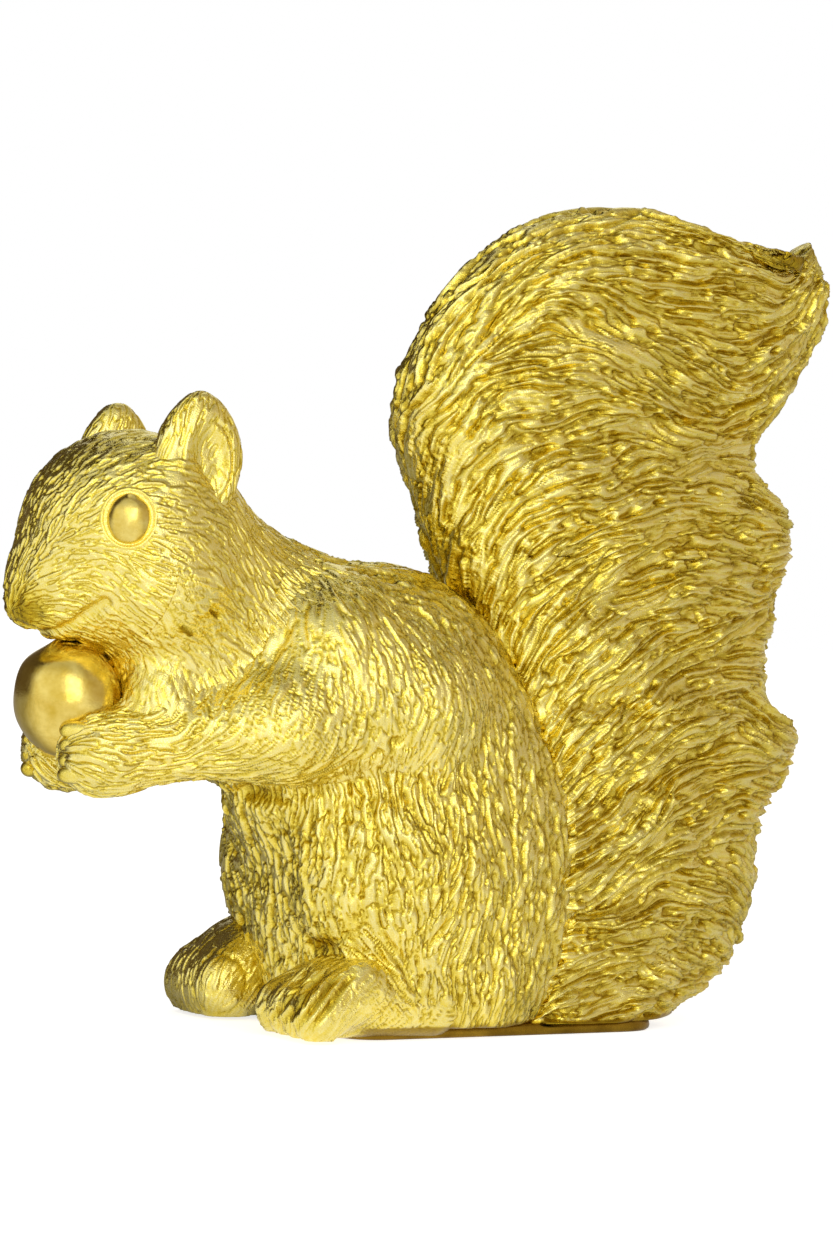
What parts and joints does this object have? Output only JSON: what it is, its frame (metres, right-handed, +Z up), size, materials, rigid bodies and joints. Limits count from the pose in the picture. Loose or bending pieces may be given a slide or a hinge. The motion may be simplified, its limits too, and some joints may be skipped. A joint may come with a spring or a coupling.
{
  "type": "squirrel figurine",
  "caption": "Seated squirrel figurine of gold-painted cast resin that holds a nut to its mouth, with carved fur, a tall bushy tail and a flat base to stand on a shelf.",
  "frame": {"origin": "on the underside of the base plate, in the figure's middle plane, about halfway between the nose and the back of the tail", "axes": "+Z up; the squirrel faces -X with its tail towards +X; its left side is -Y"},
  "size_m": [0.1435, 0.0494, 0.131],
  "materials": {
    "gilding": "metallic gold paint over carved cast resin, darker in the furrows of the fur",
    "smooth_gilding": "metallic gold paint over smooth cast resin",
    "steel": "plain ground dowel"
  },
  "bodies": {
    "root": {"body_casting": "gilding", "head_casting": "gilding", "tail_casting": "gilding", "left_arm_casting": "gilding", "right_arm_casting": "gilding", "nut": "smooth_gilding", "left_eye": "smooth_gilding", "right_eye": "smooth_gilding", "base_plate": "smooth_gilding", "neck_dowel": "steel", "tail_dowel_lower": "steel", "tail_dowel_upper": "steel", "left_shoulder_dowel": "steel", "right_shoulder_dowel": "steel", "nut_pin": "steel"}
  },
  "joints": []
}
